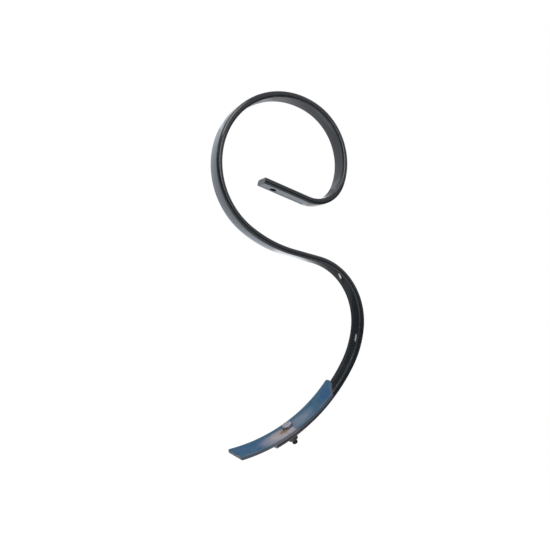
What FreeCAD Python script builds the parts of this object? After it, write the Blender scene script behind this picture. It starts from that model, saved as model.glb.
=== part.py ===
import FreeCAD, Part
import math
import os

os.makedirs("parts", exist_ok=True)

# Spring tine of a cultivator with its bolted share. Sizes are in millimetres, turns in degrees.
# The origin is the centre of the clamp hole on the seat's upper face. +Z is up, the tine is
# drawn through the soil toward -X, and the bar is as wide along Y as its section.

# Section of the flat spring-steel bar
BAR_WIDTH = 32.0
BAR_THICKNESS = 12.0
BAR_EDGE_CROWN_RADIUS = 11.0
BAR_BREAK_ACROSS = 2.9
BAR_BREAK_DEEP = 1.1

# Seat: the straight end that is clamped to the frame
SEAT_LENGTH = 95.0
CLAMP_HOLE_DIAMETER = 13.0
CLAMP_HOLE_FROM_END = 26.0

# Coil: four bends that all turn the same way, and the straight that leaves it
HEEL_RADIUS = 60.0
HEEL_ANGLE = 83.5
SHOULDER_RADIUS = 110.0
SHOULDER_ANGLE = 89.5
REAR_LOOP_RADIUS = 138.0
REAR_LOOP_ANGLE = 169.5
RUN_OUT_RADIUS = 240.0
RUN_OUT_ANGLE = 22.5
CROSSING_LENGTH = 56.0

# Leg: three bends back the other way, easing toward the lower end
KNEE_RADIUS = 118.0
KNEE_ANGLE = 86.5
SHIN_RADIUS = 170.0
SHIN_ANGLE = 24.0
FOOT_RADIUS = 335.0
FOOT_ANGLE = 36.5

# Share: a curved plate that lies against the front face of the foot. Lengths run along its back
# face, reaches run from the bolt's line to a border.
SHARE_THICKNESS = 6.0
SHARE_ABOVE_BOLT = 125.0
SHARE_BELOW_BOLT = 111.5
SHARE_STRAIGHT_REACH = 28.0
SHARE_FLARED_REACH_TOP = 19.0
SHARE_FLARED_REACH_TIP = 32.0
SHARE_FLARE_FROM_TOP = 27.0
SHARE_CUT_SHOULDER_ALONG = 28.0
SHARE_CUT_SHOULDER_ACROSS = 32.0
SHARE_CUT_SHOULDER_EASE_RADIUS = 7.0
SHARE_SQUARE_SHOULDER_RADIUS = 3.0
SHARE_TIP_CORNER_RADIUS = 2.0

# Share bolt and nut, M10
BOLT_DIAMETER = 10.0
BOLT_LENGTH = 35.0
BOLT_FROM_BAR_END = 40.5
BOLT_HOLE_CLEARANCE = 0.5
BOLT_POINT_CHAMFER = 1.2
HEX_ACROSS_FLATS = 17.0
HEAD_HEIGHT = 6.4
HEAD_PAD_HEIGHT = 0.4
NUT_HEIGHT = 8.4
HEX_CHAMFER_ANGLE = 30.0
HEX_CHAMFER_DIAMETER_RATIO = 0.94
THREAD_CLEARANCE = 0.05

ACROSS = FreeCAD.Vector(0, 1, 0)
CUT_MARGIN = 5.0


def along(heading):
    """Unit vector along the bar at a heading measured from +X toward +Z."""
    turn = math.radians(heading)
    return FreeCAD.Vector(math.cos(turn), 0, math.sin(turn))


def outward(heading):
    """Unit normal of the bar's outer face, which is the leg's front face."""
    return along(heading - 90.0)


def bar_steps():
    """Straights and bends in the order the bar is formed: length or radius, and turn."""
    return [
        (SEAT_LENGTH, 0.0),
        (HEEL_RADIUS, HEEL_ANGLE),
        (SHOULDER_RADIUS, SHOULDER_ANGLE),
        (REAR_LOOP_RADIUS, REAR_LOOP_ANGLE),
        (RUN_OUT_RADIUS, RUN_OUT_ANGLE),
        (CROSSING_LENGTH, 0.0),
        (KNEE_RADIUS, -KNEE_ANGLE),
        (SHIN_RADIUS, -SHIN_ANGLE),
        (FOOT_RADIUS, -FOOT_ANGLE),
    ]


def bend_centre(point, heading, radius, turn):
    """Centre of a bend that starts at a point; a positive turn curls away from the outer face."""
    return point - outward(heading) * math.copysign(radius, turn)


def bar_section(point, heading):
    """Bar's cross-section at a point: flat faces, crowned edges and a rolled break between them."""
    half_width = BAR_WIDTH / 2
    half_flat = half_width - BAR_BREAK_ACROSS
    crown_n = BAR_THICKNESS / 2 - BAR_BREAK_DEEP
    crown_drop = BAR_EDGE_CROWN_RADIUS - math.sqrt(BAR_EDGE_CROWN_RADIUS ** 2 - crown_n ** 2)
    crown_y = half_width - crown_drop

    def place(y, n):
        return point + ACROSS * y + outward(heading) * n

    edges = []
    for side in (1, -1):
        face_n = side * BAR_THICKNESS / 2
        edges.append(Part.makeLine(place(side * half_flat, face_n), place(-side * half_flat, face_n)))
        edges.append(Part.makeLine(place(-side * half_flat, face_n), place(-side * crown_y, side * crown_n)))
        edges.append(Part.Arc(place(-side * crown_y, side * crown_n), place(-side * half_width, 0),
                              place(-side * crown_y, -side * crown_n)).toShape())
        edges.append(Part.makeLine(place(-side * crown_y, -side * crown_n), place(-side * half_flat, -face_n)))
    return Part.Face(Part.Wire(edges))


def bar_route():
    """Each step of the bar with the point and the heading where it starts."""
    point = FreeCAD.Vector(-CLAMP_HOLE_FROM_END, 0, -BAR_THICKNESS / 2)
    heading = 0.0
    route = []
    for size, turn in bar_steps():
        route.append((point, heading, size, turn))
        if turn:
            centre = bend_centre(point, heading, size, turn)
            heading = heading + turn
            point = centre + outward(heading) * math.copysign(size, turn)
        else:
            point = point + along(heading) * size
    return route


def bent_bar():
    """Bar formed step by step from its end on the seat to its end on the foot."""
    pieces = []
    for point, heading, size, turn in bar_route():
        section = bar_section(point, heading)
        if turn:
            centre = bend_centre(point, heading, size, turn)
            pieces.append(section.revolve(centre, -ACROSS, turn))
        else:
            pieces.append(section.extrude(along(heading) * size))
    return pieces[0].multiFuse(pieces[1:]).removeSplitter()


def foot_bend():
    """Centre of the foot's bend and the heading at the bar's lower end."""
    point, heading, radius, turn = bar_route()[-1]
    return bend_centre(point, heading, radius, turn), heading + turn


def bolt_axis():
    """Point on the foot's centre line where the share bolt crosses it, and the heading there."""
    centre, end_heading = foot_bend()
    heading = end_heading + math.degrees(BOLT_FROM_BAR_END / FOOT_RADIUS)
    return centre - outward(heading) * FOOT_RADIUS, heading


def bolt_hole():
    """Cylinder that cuts the share bolt's hole through the share and the bar."""
    point, heading = bolt_axis()
    depth = BAR_THICKNESS + SHARE_THICKNESS + 2 * CUT_MARGIN
    start = point - outward(heading) * (BAR_THICKNESS / 2 + CUT_MARGIN)
    return Part.makeCylinder(BOLT_DIAMETER / 2 + BOLT_HOLE_CLEARANCE, depth, start, outward(heading))


def spring_bar():
    """Whole bar with its clamp hole and its share bolt hole."""
    bar = bent_bar()
    clamp_hole = Part.makeCylinder(CLAMP_HOLE_DIAMETER / 2, BAR_THICKNESS + 2 * CUT_MARGIN,
                                   FreeCAD.Vector(0, 0, CUT_MARGIN), FreeCAD.Vector(0, 0, -1))
    return bar.cut(clamp_hole).cut(bolt_hole())


def share_radii():
    """Radii of the share's front and back faces about the centre of the foot's bend."""
    back = FOOT_RADIUS - BAR_THICKNESS / 2
    return back - SHARE_THICKNESS, back


def share_heading(above_bolt):
    """Heading of the foot's bend at a length above the bolt along the share's back face."""
    return bolt_axis()[1] + math.degrees(above_bolt / share_radii()[1])


def share_band():
    """Constant-width curved plate from the share's top to its tip, with square ends."""
    centre = foot_bend()[0]
    front, back = share_radii()
    top = share_heading(SHARE_ABOVE_BOLT)
    tip = share_heading(-SHARE_BELOW_BOLT)
    half_width = max(SHARE_STRAIGHT_REACH, SHARE_FLARED_REACH_TOP, SHARE_FLARED_REACH_TIP) + CUT_MARGIN
    corners = []
    for radius, side in ((front, -1), (back, -1), (back, 1), (front, 1), (front, -1)):
        corners.append(centre - outward(top) * radius + ACROSS * (side * half_width))
    return Part.Face(Part.makePolygon(corners)).revolve(centre, ACROSS, top - tip)


def plan_spot(above_bolt, across):
    """Point of the share's plan, seen along the bolt, a little behind the lowest of its back face."""
    middle = bolt_axis()[1]
    back = share_radii()[1]
    base = foot_bend()[0] - outward(middle) * (back + CUT_MARGIN)
    return base - along(middle) * (back * math.sin(above_bolt / back)) + ACROSS * across


def plan_block(edges):
    """Block that stands on a closed plan and passes through the whole depth of the curved plate."""
    front, back = share_radii()
    longest = max(SHARE_ABOVE_BOLT, SHARE_BELOW_BOLT) + CUT_MARGIN
    depth = back - front * math.cos(longest / back) + 2 * CUT_MARGIN
    return Part.Face(Part.Wire(edges)).extrude(outward(bolt_axis()[1]) * depth)


def flared_border():
    """Arc of the plan that leaves the parallel border smoothly and reaches the wide tip."""
    start = SHARE_ABOVE_BOLT - SHARE_FLARE_FROM_TOP
    run = start + SHARE_BELOW_BOLT
    rise = SHARE_FLARED_REACH_TIP - SHARE_FLARED_REACH_TOP
    radius = (run ** 2 + rise ** 2) / 2 / rise
    spots = []
    for share_of_run in (0.0, 0.5, 1.0):
        gone = share_of_run * (run + CUT_MARGIN)
        swing = radius - math.sqrt(radius ** 2 - gone ** 2)
        spots.append(plan_spot(start - gone, SHARE_FLARED_REACH_TOP + swing))
    return spots


def share_blank():
    """Block with the share's plan: one straight border and one that flares toward the tip."""
    top = SHARE_ABOVE_BOLT + CUT_MARGIN
    tip = -SHARE_BELOW_BOLT - CUT_MARGIN
    near_top = plan_spot(top, -SHARE_STRAIGHT_REACH)
    near_tip = plan_spot(tip, -SHARE_STRAIGHT_REACH)
    flare_start, flare_middle, flare_end = flared_border()
    straights = Part.makePolygon([flare_end, near_tip, near_top, plan_spot(top, SHARE_FLARED_REACH_TOP),
                                  flare_start]).Edges
    return plan_block(straights + [Part.Arc(flare_start, flare_middle, flare_end).toShape()])


def shoulder_cut():
    """Wedge that takes off the shoulder between the share's top end and its straight border."""
    slope = SHARE_CUT_SHOULDER_ACROSS / SHARE_CUT_SHOULDER_ALONG
    low = SHARE_ABOVE_BOLT - SHARE_CUT_SHOULDER_ALONG - CUT_MARGIN
    high = SHARE_ABOVE_BOLT + CUT_MARGIN
    outside = -SHARE_STRAIGHT_REACH - CUT_MARGIN * slope
    inside = SHARE_CUT_SHOULDER_ACROSS - SHARE_STRAIGHT_REACH + CUT_MARGIN * slope
    corners = [plan_spot(low, outside), plan_spot(high, inside), plan_spot(high, outside)]
    return plan_block(Part.makePolygon(corners + corners[:1]).Edges)


def nearest_edge(shape, spot):
    """Edge whose middle is nearest to a spot."""
    return min(shape.Edges, key=lambda edge: edge.CenterOfMass.distanceToPoint(spot))


def rounded_corner(plate, above_bolt, across, radius):
    """Round one of the plate's corners, found by its length above the bolt and its place across."""
    front, back = share_radii()
    spot = foot_bend()[0] - outward(share_heading(above_bolt)) * ((front + back) / 2) + ACROSS * across
    return plate.makeFillet(radius, [nearest_edge(plate, spot)])


def share():
    """Share: curved plate with one cut shoulder, a flaring border, a square tip and a bolt hole."""
    plate = share_band().common(share_blank()).cut(shoulder_cut())
    cut_side = SHARE_ABOVE_BOLT - SHARE_CUT_SHOULDER_ALONG
    cut_end = SHARE_CUT_SHOULDER_ACROSS - SHARE_STRAIGHT_REACH
    plate = rounded_corner(plate, cut_side, -SHARE_STRAIGHT_REACH, SHARE_CUT_SHOULDER_EASE_RADIUS)
    plate = rounded_corner(plate, SHARE_ABOVE_BOLT, cut_end, SHARE_CUT_SHOULDER_EASE_RADIUS)
    plate = rounded_corner(plate, SHARE_ABOVE_BOLT, SHARE_FLARED_REACH_TOP, SHARE_SQUARE_SHOULDER_RADIUS)
    plate = rounded_corner(plate, -SHARE_BELOW_BOLT, -SHARE_STRAIGHT_REACH, SHARE_TIP_CORNER_RADIUS)
    plate = rounded_corner(plate, -SHARE_BELOW_BOLT, SHARE_FLARED_REACH_TIP, SHARE_TIP_CORNER_RADIUS)
    return plate.cut(bolt_hole())


def hexagon(base, axis, height, chamfered_ends):
    """Hexagonal prism with flats square to Y, its corners chamfered at the ends asked for."""
    corner_radius = HEX_ACROSS_FLATS / 2 / math.cos(math.radians(30))
    side = axis.cross(ACROSS)
    corners = []
    for step in range(7):
        turn = math.radians(60 * step)
        corners.append(base + side * (corner_radius * math.cos(turn)) + ACROSS * (corner_radius * math.sin(turn)))
    prism = Part.Face(Part.makePolygon(corners)).extrude(axis * height)
    small = HEX_ACROSS_FLATS / 2 * HEX_CHAMFER_DIAMETER_RATIO
    large = small + height / math.tan(math.radians(HEX_CHAMFER_ANGLE))
    if "far" in chamfered_ends:
        prism = prism.common(Part.makeCone(large, small, height, base, axis))
    if "near" in chamfered_ends:
        prism = prism.common(Part.makeCone(small, large, height, base, axis))
    return prism


def head_seat():
    """Distance from the foot's centre line to the bolt head's pad, resting in the hollow share."""
    front = share_radii()[0]
    pad_radius = HEX_ACROSS_FLATS / 2 * HEX_CHAMFER_DIAMETER_RATIO
    return FOOT_RADIUS - math.sqrt(front ** 2 - pad_radius ** 2)


def share_bolt():
    """Hexagon-head bolt, head on the share's front face."""
    point, heading = bolt_axis()
    front = outward(heading)
    seat = point + front * head_seat()
    pad_radius = HEX_ACROSS_FLATS / 2 * HEX_CHAMFER_DIAMETER_RATIO
    pad = Part.makeCylinder(pad_radius, HEAD_PAD_HEIGHT, seat, front)
    head = hexagon(seat + front * HEAD_PAD_HEIGHT, front, HEAD_HEIGHT - HEAD_PAD_HEIGHT, ["far"])
    radius = BOLT_DIAMETER / 2
    shank_length = BOLT_LENGTH - BOLT_POINT_CHAMFER
    shank = Part.makeCylinder(radius, shank_length, seat, -front)
    bolt_point = Part.makeCone(radius, radius - BOLT_POINT_CHAMFER, BOLT_POINT_CHAMFER,
                               seat - front * shank_length, -front)
    return pad.multiFuse([head, shank, bolt_point]).removeSplitter()


def share_nut():
    """Hexagon nut on the back of the bar."""
    point, heading = bolt_axis()
    rear = -outward(heading)
    seat = point + rear * (BAR_THICKNESS / 2)
    nut = hexagon(seat, rear, NUT_HEIGHT, ["near", "far"])
    bore = Part.makeCylinder(BOLT_DIAMETER / 2 + THREAD_CLEARANCE, NUT_HEIGHT + 2 * CUT_MARGIN,
                             seat - rear * CUT_MARGIN, rear)
    return nut.cut(bore)


spring_bar().exportStep("parts/spring_bar.step")
share().exportStep("parts/share.step")
share_bolt().exportStep("parts/share_bolt.step")
share_nut().exportStep("parts/share_nut.step")
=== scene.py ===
import bpy
import math
import numpy as np
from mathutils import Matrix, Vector


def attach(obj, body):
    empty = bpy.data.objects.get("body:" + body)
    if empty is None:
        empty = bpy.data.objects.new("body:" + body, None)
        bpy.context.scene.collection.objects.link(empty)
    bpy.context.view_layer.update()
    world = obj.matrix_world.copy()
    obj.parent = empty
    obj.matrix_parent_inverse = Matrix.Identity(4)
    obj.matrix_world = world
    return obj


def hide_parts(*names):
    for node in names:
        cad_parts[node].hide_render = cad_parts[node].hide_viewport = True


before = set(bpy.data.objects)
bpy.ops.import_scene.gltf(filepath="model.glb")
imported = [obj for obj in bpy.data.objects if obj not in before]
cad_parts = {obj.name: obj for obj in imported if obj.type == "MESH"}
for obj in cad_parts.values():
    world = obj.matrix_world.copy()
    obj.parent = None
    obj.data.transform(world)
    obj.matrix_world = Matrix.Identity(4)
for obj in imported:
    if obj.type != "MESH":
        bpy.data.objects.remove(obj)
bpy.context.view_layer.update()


# Viewpoint. The photographer stands in front of the near edge and a little below the coil, with the
# camera turned clockwise, so the hanging tine leans to the left of the frame.
viewer = bpy.data.cameras.new("viewer")
viewer.lens = 38.03
viewer.sensor_width = 36.0
viewer.clip_start = 0.01
viewer.clip_end = 50.0
viewer_stand = bpy.data.objects.new("viewer", viewer)
viewer_stand.location = (-0.40527, -0.93037, -0.34427)
viewer_stand.rotation_euler = (math.radians(100.4859), math.radians(-14.6253), math.radians(-28.6637))
bpy.context.collection.objects.link(viewer_stand)
bpy.context.scene.camera = viewer_stand


# Spring bar. Hot-rolled spring steel flat with crowned edges, bent on its flat into the coil, the
# crossing and the leg, then painted gloss black. It is one piece from the seat to the foot.
bar_width = 0.032
bar_thickness = 0.012
bar_corner = 0.0026
bar_crown = 0.011
bar_face_crown = 0.00035
bar_end_break = 0.0006
bar_row_step = 0.0035
bar_crease = 40.0
seat_length = 0.095
clamp_hole_from_end = 0.026
clamp_hole_radius = 0.0065
bolt_hole_radius = 0.0055
bit_length = 0.03
bolt_from_bar_end = 0.0405
heel_bend = (0.060, 83.5)
shoulder_bend = (0.110, 89.5)
rear_loop_bend = (0.138, 169.5)
run_out_bend = (0.240, 22.5)
crossing_length = 0.056
knee_bend = (0.118, -86.5)
shin_bend = (0.170, -24.0)
foot_bend = (0.335, -36.5)
across_bar = np.array([0.0, 1.0, 0.0])
black_paint = (0.009, 0.0122, 0.0165, 1)
chipped_steel = (0.085, 0.070, 0.060, 1)
sheared_steel = (0.330, 0.330, 0.310, 1)
road_dust = (0.30, 0.28, 0.25, 1)
gloss_paint_roughness = (0.09, 0.17)
rubbed_paint_roughness = 0.32
dusty_roughness = 0.6
chipped_roughness = 0.55
sheared_roughness = 0.5
black_paint_bump = 0.000035


def outward(heading):
    """Outer-face normal for headings in radians: the heading turned a quarter turn clockwise."""
    return np.stack([np.sin(heading), np.zeros_like(heading), -np.cos(heading)], axis=-1)


def bar_line(spacing):
    """Centre line of the bar: tangent straights and arcs joined end to end.

    A straight adds heading times distance to its start. An arc keeps its centre at a radius from the
    start along the normal, and each sample is the centre plus the radius times the turned normal.
    Returns the points, the headings in radians and the distances from the upper end.
    """
    runs = [seat_length, heel_bend, shoulder_bend, rear_loop_bend, run_out_bend, crossing_length,
            knee_bend, shin_bend, foot_bend]
    point = np.array([-clamp_hole_from_end, 0.0, -bar_thickness / 2])
    heading = 0.0
    walked = 0.0
    points, headings, distances = [], [], []
    for run in runs:
        if isinstance(run, tuple):
            radius, turn = run[0], math.radians(run[1])
            count = max(2, int(radius * abs(turn) / spacing))
            turned = heading + np.linspace(0.0, turn, count + 1)
            reach = math.copysign(radius, turn)
            centre = point - outward(np.array(heading)) * reach
            line = centre + outward(turned) * reach
            length = radius * abs(turn)
        else:
            count = max(2, int(run / spacing))
            turned = np.full(count + 1, heading)
            steps = np.linspace(0.0, run, count + 1)[:, None]
            line = point + steps * np.array([math.cos(heading), 0.0, math.sin(heading)])
            length = run
        points.append(line[:-1])
        headings.append(turned[:-1])
        distances.append(walked + np.linspace(0.0, length, count + 1)[:-1])
        point, heading, walked = line[-1], turned[-1], walked + length
    points.append(point[None])
    headings.append(np.array([heading]))
    distances.append(np.array([walked]))
    return np.concatenate(points), np.concatenate(headings), np.concatenate(distances)


def bar_profile():
    """Closed section of the bar as (across, outward) pairs, with its edge mask.

    One quarter is a flat, a corner arc about a point inside both faces, and half of the edge's crown
    arc; the other quarters are its mirror images. The flat sinks toward the edges by the face crown
    times the square of its share of the way. The mask is 1 on the corner arcs and falls off beside
    them. The ring starts in the middle of the inner face.
    """
    corner_out = bar_thickness / 2 - bar_corner
    crown_across = bar_width / 2 - bar_crown
    corner_across = crown_across + math.sqrt((bar_crown - bar_corner) ** 2 - corner_out ** 2)
    join = math.atan2(corner_out, corner_across - crown_across)
    flat = np.linspace(0.0, corner_across, 9)[:-1]
    sweep = np.linspace(math.pi / 2, join, 6)
    crown = np.linspace(join, 0.0, 6)[1:]
    across = np.concatenate([flat, corner_across + bar_corner * np.cos(sweep),
                             crown_across + bar_crown * np.cos(crown)])
    out = np.concatenate([np.full(flat.size, bar_thickness / 2), corner_out + bar_corner * np.sin(sweep),
                          bar_crown * np.sin(crown)])
    mask = np.concatenate([np.clip((flat - corner_across + 0.003) / 0.003, 0.0, 1.0), np.ones(sweep.size),
                           np.clip(1.0 - (join - crown) / join * 1.4, 0.0, 1.0)])
    out = out * (1 - bar_face_crown * 2 / bar_thickness * np.clip(across / corner_across, 0.0, 1.0) ** 2)
    quarter = np.stack([across, -out, mask], axis=1)
    right = np.concatenate([quarter, quarter[-2::-1] * [1, -1, 1]])
    ring = np.concatenate([right, right[-2:0:-1] * [-1, 1, 1]])
    return ring[:, :2], ring[:, 2]


def broken_ends(grid, starts, ends, size):
    """Rings with a small chamfer at both ends.

    The first and last rings are doubled; the outer copy shrinks toward its middle by the size and the
    inner one moves along the piece by the same size.
    """
    grid = np.concatenate([grid[:1], grid, grid[-1:]])
    for outer, inner, step in ((0, 1, starts), (-1, -2, -ends)):
        middle = grid[inner].mean(axis=0)
        spoke = grid[inner] - middle
        reach = np.linalg.norm(spoke, axis=1, keepdims=True)
        grid[outer] = middle + spoke * (1 - size / reach)
        grid[inner] = grid[inner] + step * size
    return grid


def tube_faces(rows, columns):
    """Quads of a closed tube, row by row round the columns, and one many-sided cap at each end."""
    row = np.arange(rows - 1)[:, None] * columns
    column = np.arange(columns)[None]
    after = (column + 1) % columns
    quads = np.stack([row + column, row + after, row + columns + after, row + columns + column], axis=-1)
    first = np.arange(columns)[::-1]
    last = (rows - 1) * columns + np.arange(columns)
    return quads.reshape(-1, 4), first, last


def signed_volume(points, quads):
    """Sum over the quads of a corner dotted with the cross product of the next two corners."""
    corners = points[quads] - points.mean(axis=0)
    near_half = np.einsum("ij,ij->i", corners[:, 0], np.cross(corners[:, 1], corners[:, 2])).sum()
    far_half = np.einsum("ij,ij->i", corners[:, 0], np.cross(corners[:, 2], corners[:, 3])).sum()
    return near_half + far_half


def smooth_object(name, mesh, crease):
    """Object of a mesh, shaded smooth except where faces meet at more than the crease's degrees."""
    mesh.polygons.foreach_set("use_smooth", np.ones(len(mesh.polygons), dtype=bool))
    mesh.set_sharp_from_angle(angle=math.radians(crease))
    piece = bpy.data.objects.new(name, mesh)
    bpy.context.collection.objects.link(piece)
    return piece


def tube_object(name, grid, along, way, crease):
    """Mesh object from rings of points, faces outward, with a UV map in metres along and round it.

    Where the signed volume is negative every face is turned over. In the map, a quad that closes the
    ring takes the whole way round as the far side of its patch.
    """
    rows, columns = grid.shape[:2]
    points = grid.reshape(-1, 3)
    quads, first, last = tube_faces(rows, columns)
    quad_row, quad_column = np.divmod(np.arange(quads.shape[0]), columns)
    lengths = np.stack([along[quad_row], along[quad_row], along[quad_row + 1], along[quad_row + 1]], axis=1)
    rounds = np.stack([way[quad_column], way[quad_column + 1], way[quad_column + 1], way[quad_column]], axis=1)
    if signed_volume(points, quads) < 0:
        quads, first, last = quads[:, ::-1], first[::-1], last[::-1]
        lengths, rounds = lengths[:, ::-1], rounds[:, ::-1]
    mesh = bpy.data.meshes.new(name)
    mesh.from_pydata(points.tolist(), [], quads.tolist() + [first.tolist(), last.tolist()])
    cap_map = [np.stack([along[cap // columns], way[cap % columns]], axis=1) for cap in (first, last)]
    spread = np.concatenate([np.stack([lengths, rounds], axis=-1).reshape(-1, 2)] + cap_map)
    mesh.uv_layers.new(name="surface").data.foreach_set("uv", spread.astype(np.float32).ravel())
    return smooth_object(name, mesh, crease)


def point_values(piece, name, values):
    """Stores one number for each point of a piece, for its material to read."""
    layer = piece.data.attributes.new(name=name, type="FLOAT", domain="POINT")
    layer.data.foreach_set("value", np.asarray(values, dtype=np.float32).ravel())


def drill(piece, centre, axis, radius, length):
    """Cuts a round hole through a piece and keeps the cut mesh."""
    bpy.ops.mesh.primitive_cylinder_add(vertices=64, radius=radius, depth=length)
    bit = bpy.context.active_object
    bit.rotation_mode = "QUATERNION"
    bit.rotation_quaternion = Vector(axis).to_track_quat("Z", "Y")
    bit.location = centre
    bpy.context.view_layer.update()
    cut = piece.modifiers.new("hole", "BOOLEAN")
    cut.object = bit
    cut.operation = "DIFFERENCE"
    cut.solver = "EXACT"
    drilled = bpy.data.meshes.new_from_object(piece.evaluated_get(bpy.context.evaluated_depsgraph_get()))
    piece.modifiers.clear()
    piece.data = drilled
    bpy.data.objects.remove(bit)
    drilled.set_sharp_from_angle(angle=math.radians(bar_crease))


bar_points, bar_headings, bar_distances = bar_line(bar_row_step)
bar_ring, bar_edge = bar_profile()
ring_steps = np.linalg.norm(np.roll(bar_ring, -1, axis=0) - bar_ring, axis=1)
bar_way = np.concatenate([[0.0], np.cumsum(ring_steps)])
bar_grid = (bar_points[:, None] + outward(bar_headings)[:, None] * bar_ring[None, :, 1:2]
            + across_bar * bar_ring[None, :, 0:1])
bar_tangents = np.stack([np.cos(bar_headings), np.zeros_like(bar_headings), np.sin(bar_headings)], axis=1)
bar_grid = broken_ends(bar_grid, bar_tangents[0], bar_tangents[-1], bar_end_break)
bar_along = np.concatenate([bar_distances[:1] - bar_end_break, bar_distances,
                            bar_distances[-1:] + bar_end_break])
bar = tube_object("painted_spring_bar", bar_grid, bar_along, bar_way, bar_crease)
edge_rows = np.repeat(bar_edge[None], bar_grid.shape[0], axis=0)
edge_rows[[0, 1, -2, -1]] = 1.0
point_values(bar, "edge", edge_rows)
foot_end = np.zeros(bar_grid.shape[:2])
foot_end[-1] = 1.0
point_values(bar, "foot_end", foot_end)

foot_end_heading = bar_headings[-1]
foot_centre = bar_points[-1] + outward(foot_end_heading) * foot_bend[0]
bolt_heading = foot_end_heading + bolt_from_bar_end / foot_bend[0]
bolt_front = outward(bolt_heading)
bolt_spot = foot_centre - bolt_front * foot_bend[0]
drill(bar, (0, 0, -bar_thickness / 2), (0, 0, 1), clamp_hole_radius, bit_length)
drill(bar, bolt_spot, bolt_front, bolt_hole_radius, bit_length)


def add_node(tree, kind, **settings):
    """Adds a node and sets its options and its unlinked inputs by name."""
    node = tree.nodes.new(kind)
    for key, value in settings.items():
        if key.replace("_", " ") in node.inputs:
            node.inputs[key.replace("_", " ")].default_value = value
        else:
            setattr(node, key, value)
    return node


def new_group(name, inputs, outputs):
    """Empty shader group with named sockets; inputs are (name, kind, value), outputs (name, kind)."""
    group = bpy.data.node_groups.new(name, "ShaderNodeTree")
    for label, kind, value in inputs:
        socket = group.interface.new_socket(name=label, in_out="INPUT", socket_type="NodeSocket" + kind)
        if value is not None:
            socket.default_value = value
    for label, kind in outputs:
        group.interface.new_socket(name=label, in_out="OUTPUT", socket_type="NodeSocket" + kind)
    return group, group.nodes.new("NodeGroupInput").outputs, group.nodes.new("NodeGroupOutput").inputs


def feed(tree, target, value):
    """Links a socket to an input, or sets a plain value on it."""
    if isinstance(value, bpy.types.NodeSocket):
        tree.links.new(value, target)
    else:
        target.default_value = value


def use_group(tree, group, **values):
    """Places a shader group in a material with its own values; a socket as a value is linked."""
    node = tree.nodes.new("ShaderNodeGroup")
    node.node_tree = group
    for key, value in values.items():
        feed(tree, node.inputs[key.replace("_", " ")], value)
    return node.outputs


def blend_colour(tree, amount, under, over):
    """Mixes two colours by a mask; each is a socket or a plain colour."""
    mix = add_node(tree, "ShaderNodeMix", data_type="RGBA")
    tree.links.new(amount, mix.inputs[0])
    feed(tree, mix.inputs[6], under)
    feed(tree, mix.inputs[7], over)
    return mix.outputs[2]


def blend_value(tree, amount, under, over):
    """Mixes two numbers by a mask; each is a socket or a plain number."""
    mix = add_node(tree, "ShaderNodeMix", data_type="FLOAT")
    tree.links.new(amount, mix.inputs[0])
    feed(tree, mix.inputs[2], under)
    feed(tree, mix.inputs[3], over)
    return mix.outputs[0]


def ramp(tree, value, low, high, start=0.0, end=1.0):
    """Smooth step of a socket's value from low to high."""
    step = add_node(tree, "ShaderNodeMapRange", interpolation_type="SMOOTHSTEP")
    tree.links.new(value, step.inputs[0])
    for place, number in ((1, low), (2, high), (3, start), (4, end)):
        feed(tree, step.inputs[place], number)
    return step.outputs[0]


def sums(tree, operation, first, second):
    """Arithmetic on two sockets or numbers."""
    node = add_node(tree, "ShaderNodeMath", operation=operation)
    feed(tree, node.inputs[0], first)
    feed(tree, node.inputs[1], second)
    return node.outputs[0]


def times(tree, first, second):
    """Product of two sockets or numbers."""
    return sums(tree, "MULTIPLY", first, second)


def noise_at(tree, vector, scale, detail=2.0, roughness=0.5):
    """Noise value at a vector; the scale may be a socket."""
    node = add_node(tree, "ShaderNodeTexNoise", Detail=detail, Roughness=roughness)
    tree.links.new(vector, node.inputs["Vector"])
    feed(tree, node.inputs["Scale"], scale)
    return node.outputs[0]


def new_material(name):
    """Material with its node tree and its Principled shader."""
    material = bpy.data.materials.new(name)
    material.use_nodes = True
    return material, material.node_tree, material.node_tree.nodes["Principled BSDF"]


def raise_skin(tree, skin, height, depth):
    """Bumps a shader's surface by a height, whose full range is the depth in metres."""
    bump = add_node(tree, "ShaderNodeBump", Strength=1.0, Distance=depth)
    tree.links.new(height, bump.inputs["Height"])
    tree.links.new(bump.outputs[0], skin.inputs["Normal"])


def read_attribute(tree, name):
    """Value that a piece's points hold under a name."""
    return add_node(tree, "ShaderNodeAttribute", attribute_name=name).outputs["Fac"]


# Effects that paint and bare metal share. First the skin's relief: fine orange peel and slow waves.
relief, given, result = new_group("paint_relief", [("Vector", "Vector", None), ("Peel Scale", "Float", 900.0),
                                                   ("Wave Scale", "Float", 60.0), ("Wave Share", "Float", 0.7)],
                                  [("Height", "Float")])
peel = noise_at(relief, given["Vector"], given["Peel Scale"], 2.0)
wave = noise_at(relief, given["Vector"], given["Wave Scale"], 1.0)
relief.links.new(blend_value(relief, given["Wave Share"], peel, wave), result["Height"])

# Chips that open first on the edges, in ragged crumbs and more in some stretches than in others
edge_chips, given, result = new_group("edge_chips", [("Vector", "Vector", None), ("Edge", "Float", 0.0),
                                                     ("Scale", "Float", 260.0), ("Reach", "Float", 0.9)],
                                      [("Mask", "Float")])
crumbs = noise_at(edge_chips, given["Vector"], given["Scale"], 4.0, 0.65)
patches = noise_at(edge_chips, given["Vector"], 28.0, 1.0)
bite = sums(edge_chips, "ADD", times(edge_chips, given["Edge"], 0.45),
            sums(edge_chips, "ADD", times(edge_chips, crumbs, 0.7), times(edge_chips, patches, 0.5)))
bitten = sums(edge_chips, "SUBTRACT", bite, given["Reach"])
edge_chips.links.new(ramp(edge_chips, bitten, 0.0, 0.04), result["Mask"])

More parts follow.
